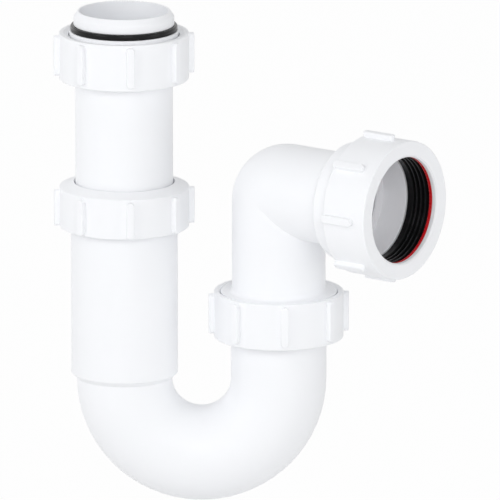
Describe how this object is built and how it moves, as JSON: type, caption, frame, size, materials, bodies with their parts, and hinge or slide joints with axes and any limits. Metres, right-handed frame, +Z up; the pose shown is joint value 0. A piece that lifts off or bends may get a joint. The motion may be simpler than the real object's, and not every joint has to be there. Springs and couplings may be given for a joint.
{
  "type": "swivel p-trap",
  "caption": "White tubular P-trap with a telescopic inlet, a U-bend water seal and a swivelling elbow that ends in a compression outlet for a waste pipe.",
  "frame": {"origin": "on the inlet's axis, at the lower end of the spigot's straight wall, where a waste's tail comes down onto the inlet washer", "axes": "+Z up along the inlet tube, +X from the inlet limb to the outlet limb"},
  "size_m": [0.1601, 0.0898, 0.2056],
  "materials": {
    "white_plastic": "satin moulded",
    "black_rubber": "matte",
    "red_plastic": "smooth moulded"
  },
  "bodies": {
    "inlet": {"inlet_tube": "white_plastic", "inlet_washer": "black_rubber"},
    "inlet_nut": {"inlet_nut": "white_plastic"},
    "trap": {"telescope_socket": "white_plastic", "telescope_seal": "black_rubber", "telescope_slip_ring": "white_plastic", "u_bend": "white_plastic", "swivel_washer": "black_rubber"},
    "telescope_nut": {"telescope_nut": "white_plastic"},
    "swivel_nut": {"swivel_nut": "white_plastic"},
    "elbow": {"outlet_elbow": "white_plastic", "outlet_seal": "black_rubber", "outlet_slip_ring": "red_plastic"},
    "outlet_nut": {"outlet_nut": "white_plastic"}
  },
  "joints": [
    {"name": "inlet_nut_turn", "type": "hinge", "parent": "inlet", "child": "inlet_nut", "pos_m": [0, 0, -0.013], "axis": [0, 0, 1], "continuous": true},
    {"name": "telescope_slide", "type": "slide", "parent": "inlet", "child": "trap", "axis": [0, 0, 1], "range_m": [-0.014, 0.041]},
    {"name": "telescope_nut_turn", "type": "hinge", "parent": "trap", "child": "telescope_nut", "pos_m": [0, 0, -0.075], "axis": [0, 0, 1], "continuous": true},
    {"name": "swivel_nut_turn", "type": "hinge", "parent": "trap", "child": "swivel_nut", "pos_m": [0.0633, 0, -0.1215], "axis": [0, 0, 1], "continuous": true},
    {"name": "outlet_swivel", "type": "hinge", "parent": "trap", "child": "elbow", "pos_m": [0.0633, 0, -0.112], "axis": [0, 0, 1], "range_deg": [-73, 147]},
    {"name": "outlet_nut_turn", "type": "hinge", "parent": "elbow", "child": "outlet_nut", "pos_m": [0.10643, -0.0325, -0.0692], "axis": [0.7986, -0.6018, 0], "continuous": true}
  ]
}
